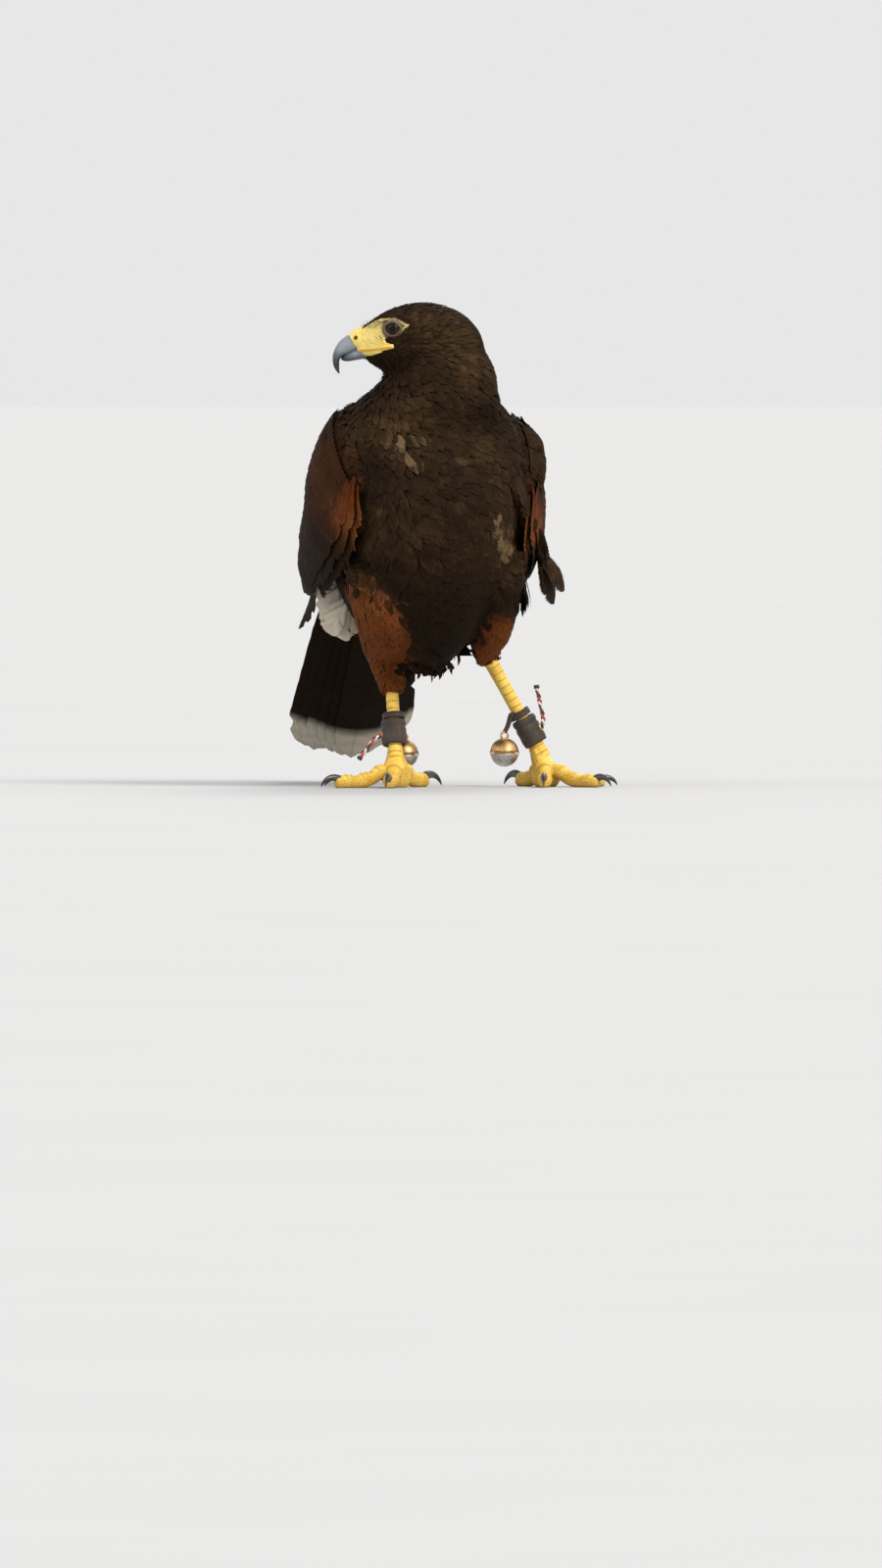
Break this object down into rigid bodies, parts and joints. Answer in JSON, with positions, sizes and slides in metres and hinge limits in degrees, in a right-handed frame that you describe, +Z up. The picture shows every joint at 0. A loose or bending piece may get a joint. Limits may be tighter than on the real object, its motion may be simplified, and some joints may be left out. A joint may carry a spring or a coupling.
{
  "type": "harris hawk",
  "caption": "Life-size still model of a Harris hawk standing on both feet, looking over its right shoulder, with leather anklets, bells and short plaited jesses.",
  "frame": {"origin": "on the floor, under the middle of the bird's box", "axes": "the breast faces -Y, the bird's left side is +X, up is +Z; the head is turned to its right, towards -X"},
  "size_m": [0.2208, 0.3406, 0.333],
  "materials": {
    "body_feathers": "matte dark brown feathers",
    "rufous_feathers": "matte rufous feathers",
    "flight_feathers": "satin black-brown feathers",
    "pale_feathers": "matte cream-white feathers",
    "yellow_skin": "scaly yellow skin",
    "bill_horn": "satin blue-grey horn",
    "claw_horn": "satin black horn",
    "eye": "wet dark brown eye",
    "leather": "worn black leather",
    "eyelet_brass": "dull brass",
    "bell_metal": "copper and nickel, worn",
    "braid": "plaited red cord with dark and white flecks"
  },
  "bodies": {
    "root": {"torso": "body_feathers", "rump": "pale_feathers", "neck": "body_feathers", "head": "body_feathers", "eye_left": "eye", "eye_right": "eye", "cere": "yellow_skin", "beak_upper": "bill_horn", "beak_lower": "bill_horn", "tail": "flight_feathers", "wing_right_hand": "flight_feathers", "wing_right_arm": "rufous_feathers", "wing_left_hand": "flight_feathers", "wing_left_arm": "rufous_feathers", "thigh_right": "rufous_feathers", "shank_right": "yellow_skin", "foot_right": "yellow_skin", "claw_right_middle": "claw_horn", "claw_right_outer": "claw_horn", "claw_right_inner": "claw_horn", "claw_right_hind": "claw_horn", "anklet_right": "leather", "bewit_right": "leather", "eyelet_right": "eyelet_brass", "bell_right": "bell_metal", "jess_right": "braid", "thigh_left": "rufous_feathers", "shank_left": "yellow_skin", "foot_left": "yellow_skin", "claw_left_middle": "claw_horn", "claw_left_outer": "claw_horn", "claw_left_inner": "claw_horn", "claw_left_hind": "claw_horn", "anklet_left": "leather", "bewit_left": "leather", "eyelet_left": "eyelet_brass", "bell_left": "bell_metal", "jess_left": "braid"}
  },
  "joints": []
}
